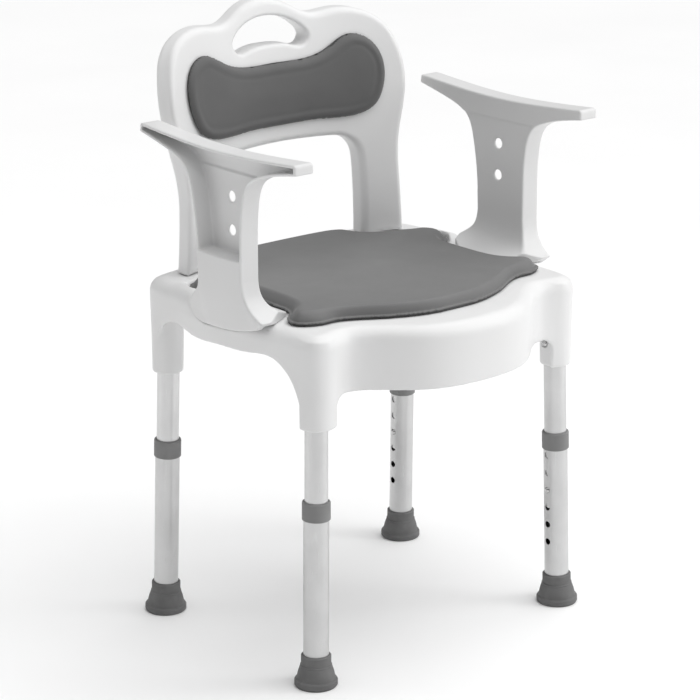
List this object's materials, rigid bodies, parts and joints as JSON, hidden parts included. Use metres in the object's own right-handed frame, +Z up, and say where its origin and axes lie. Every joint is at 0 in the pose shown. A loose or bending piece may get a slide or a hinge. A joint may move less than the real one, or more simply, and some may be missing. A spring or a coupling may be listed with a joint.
{
  "type": "shower stool",
  "caption": "Shower chair with a moulded seat, grey cushions, a plug-in backrest with a grab hole, plug-in arms and telescopic aluminium legs on rubber feet.",
  "frame": {"origin": "on the floor, at the middle of the object's plan", "axes": "+Z up, -Y towards the front of the seat, +X towards the sitter's left"},
  "size_m": [0.5148, 0.4821, 0.811],
  "materials": {
    "white_moulding": "satin moulded polypropylene",
    "backrest_moulding": "satin blow-moulded polyethylene",
    "arm_moulding": "satin moulded polypropylene",
    "pad_board": "dark matte board",
    "seat_cushion_foam": "soft integral-skin foam",
    "back_cushion_foam": "soft integral-skin foam",
    "rubber_feet": "matte grey rubber",
    "steel_washers": "zinc plated",
    "lower_tubes": "satin anodised",
    "upper_tubes": "satin anodised",
    "collars": "matte grey nylon",
    "steel_buttons": "polished",
    "spring_steel": "plain"
  },
  "bodies": {
    "seat": {"seat_shell": "white_moulding", "front_left_upper_tube": "upper_tubes", "front_left_height_spring": "spring_steel", "front_left_socket_spring": "spring_steel", "front_right_upper_tube": "upper_tubes", "front_right_height_spring": "spring_steel", "front_right_socket_spring": "spring_steel", "rear_left_upper_tube": "upper_tubes", "rear_left_height_spring": "spring_steel", "rear_left_socket_spring": "spring_steel", "rear_right_upper_tube": "upper_tubes", "rear_right_height_spring": "spring_steel", "rear_right_socket_spring": "spring_steel"},
    "seat_cushion": {"seat_pad_base": "pad_board", "seat_pad": "seat_cushion_foam"},
    "backrest": {"backrest_shell": "backrest_moulding", "backrest_pad_base": "pad_board", "backrest_pad": "back_cushion_foam"},
    "left_arm": {"left_arm": "arm_moulding"},
    "right_arm": {"right_arm": "arm_moulding"},
    "front_left_lower_leg": {"front_left_lower_tube": "lower_tubes", "front_left_collar": "collars", "front_left_foot_tip": "rubber_feet", "front_left_foot_washer": "steel_washers"},
    "front_left_height_button": {"front_left_height_button": "steel_buttons"},
    "front_left_socket_button": {"front_left_socket_button": "steel_buttons"},
    "front_right_lower_leg": {"front_right_lower_tube": "lower_tubes", "front_right_collar": "collars", "front_right_foot_tip": "rubber_feet", "front_right_foot_washer": "steel_washers"},
    "front_right_height_button": {"front_right_height_button": "steel_buttons"},
    "front_right_socket_button": {"front_right_socket_button": "steel_buttons"},
    "rear_left_lower_leg": {"rear_left_lower_tube": "lower_tubes", "rear_left_collar": "collars", "rear_left_foot_tip": "rubber_feet", "rear_left_foot_washer": "steel_washers"},
    "rear_left_height_button": {"rear_left_height_button": "steel_buttons"},
    "rear_left_socket_button": {"rear_left_socket_button": "steel_buttons"},
    "rear_right_lower_leg": {"rear_right_lower_tube": "lower_tubes", "rear_right_collar": "collars", "rear_right_foot_tip": "rubber_feet", "rear_right_foot_washer": "steel_washers"},
    "rear_right_height_button": {"rear_right_height_button": "steel_buttons"},
    "rear_right_socket_button": {"rear_right_socket_button": "steel_buttons"}
  },
  "joints": [
    {"name": "front_left_height", "type": "slide", "parent": "seat", "child": "front_left_lower_leg", "axis": [0.0233, -0.0204, -0.9995], "range_m": [-0.075, 0.05], "deforming": ["front_left_height_button"]},
    {"name": "front_left_height_button_press", "type": "slide", "parent": "seat", "child": "front_left_height_button", "axis": [0.9997, 0.0005, 0.0233], "range_m": [0, 0.0042], "stiffness_N_per_m": 1200, "springref_m": -0.002, "deforming": ["front_left_height_spring"]},
    {"name": "front_left_socket_button_press", "type": "slide", "parent": "seat", "child": "front_left_socket_button", "axis": [0.9997, 0.0005, 0.0233], "range_m": [0, 0.0065], "stiffness_N_per_m": 1200, "springref_m": -0.002, "deforming": ["front_left_socket_spring"]},
    {"name": "front_right_height", "type": "slide", "parent": "seat", "child": "front_right_lower_leg", "axis": [-0.0233, -0.0204, -0.9995], "range_m": [-0.075, 0.05], "deforming": ["front_right_height_button"]},
    {"name": "front_right_height_button_press", "type": "slide", "parent": "seat", "child": "front_right_height_button", "axis": [-0.9997, 0.0005, 0.0233], "range_m": [0, 0.0042], "stiffness_N_per_m": 1200, "springref_m": -0.002, "deforming": ["front_right_height_spring"]},
    {"name": "front_right_socket_button_press", "type": "slide", "parent": "seat", "child": "front_right_socket_button", "axis": [-0.9997, 0.0005, 0.0233], "range_m": [0, 0.0065], "stiffness_N_per_m": 1200, "springref_m": -0.002, "deforming": ["front_right_socket_spring"]},
    {"name": "rear_left_height", "type": "slide", "parent": "seat", "child": "rear_left_lower_leg", "axis": [0.0162, 0.0293, -0.9994], "range_m": [-0.075, 0.05], "deforming": ["rear_left_height_button"]},
    {"name": "rear_left_height_button_press", "type": "slide", "parent": "seat", "child": "rear_left_height_button", "axis": [0.9999, -0.0005, 0.0162], "range_m": [0, 0.0042], "stiffness_N_per_m": 1200, "springref_m": -0.002, "deforming": ["rear_left_height_spring"]},
    {"name": "rear_left_socket_button_press", "type": "slide", "parent": "seat", "child": "rear_left_socket_button", "axis": [0.9999, -0.0005, 0.0162], "range_m": [0, 0.0065], "stiffness_N_per_m": 1200, "springref_m": -0.002, "deforming": ["rear_left_socket_spring"]},
    {"name": "rear_right_height", "type": "slide", "parent": "seat", "child": "rear_right_lower_leg", "axis": [-0.0162, 0.0293, -0.9994], "range_m": [-0.075, 0.05], "deforming": ["rear_right_height_button"]},
    {"name": "rear_right_height_button_press", "type": "slide", "parent": "seat", "child": "rear_right_height_button", "axis": [-0.9999, -0.0005, 0.0162], "range_m": [0, 0.0042], "stiffness_N_per_m": 1200, "springref_m": -0.002, "deforming": ["rear_right_height_spring"]},
    {"name": "rear_right_socket_button_press", "type": "slide", "parent": "seat", "child": "rear_right_socket_button", "axis": [-0.9999, -0.0005, 0.0162], "range_m": [0, 0.0065], "stiffness_N_per_m": 1200, "springref_m": -0.002, "deforming": ["rear_right_socket_spring"]},
    {"name": "left_arm_lift", "type": "slide", "parent": "seat", "child": "left_arm", "axis": [0, 0, 1], "range_m": [0, 0.1]},
    {"name": "right_arm_lift", "type": "slide", "parent": "seat", "child": "right_arm", "axis": [0, 0, 1], "range_m": [0, 0.1]},
    {"name": "backrest_lift", "type": "slide", "parent": "seat", "child": "backrest", "axis": [0, 0, 1], "range_m": [0, 0.12]},
    {"name": "seat_cushion_lift", "type": "slide", "parent": "seat", "child": "seat_cushion", "axis": [0, 0, 1], "range_m": [0, 0.08]}
  ]
}
